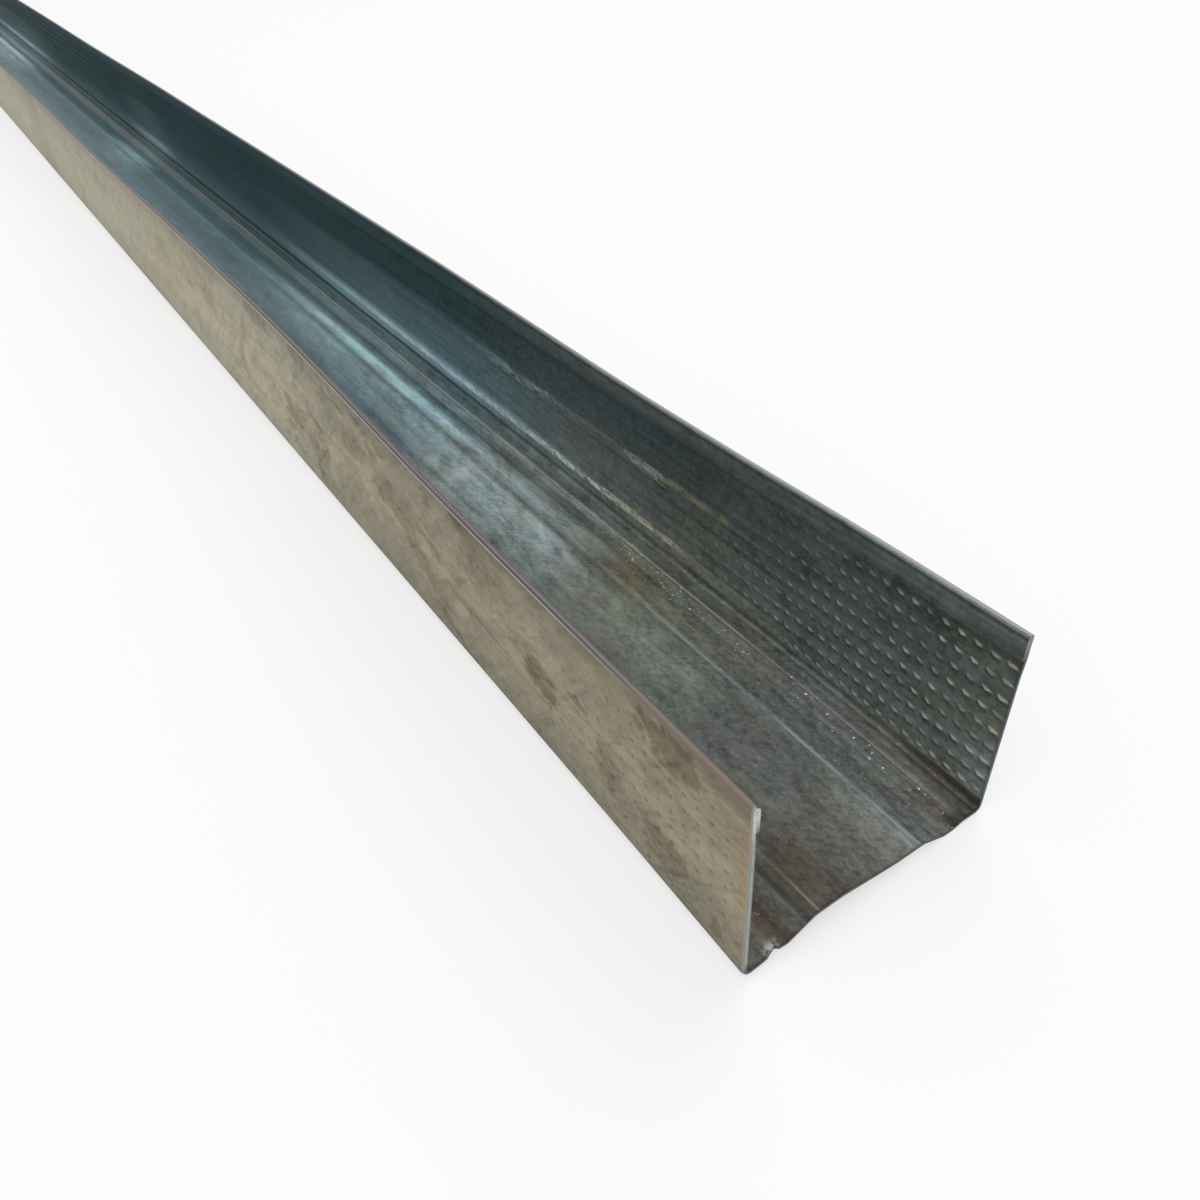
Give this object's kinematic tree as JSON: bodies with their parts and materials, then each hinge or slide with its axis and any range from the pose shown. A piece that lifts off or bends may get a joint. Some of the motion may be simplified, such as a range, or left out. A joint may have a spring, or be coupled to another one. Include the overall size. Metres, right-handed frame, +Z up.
{
  "type": "drywall track",
  "caption": "Roll-formed galvanised sheet-steel U track with a ribbed web, dimpled flanges and hemmed edges, fixed to a floor or ceiling to hold the ends of wall studs.",
  "frame": {"origin": "middle of the length and of the width, at the underside of the two ribs of the web, which is where the track rests", "axes": "+X along the length, +Y across the web from flange to flange, +Z up from the web along the flanges"},
  "size_m": [3.048, 0.0422, 0.0329],
  "materials": {
    "galvanised_sheet": "hot-dip galvanised cold-rolled sheet, dull grey zinc with rolling streaks, spangle and handling stains"
  },
  "bodies": {
    "root": {"track": "galvanised_sheet"}
  },
  "joints": []
}
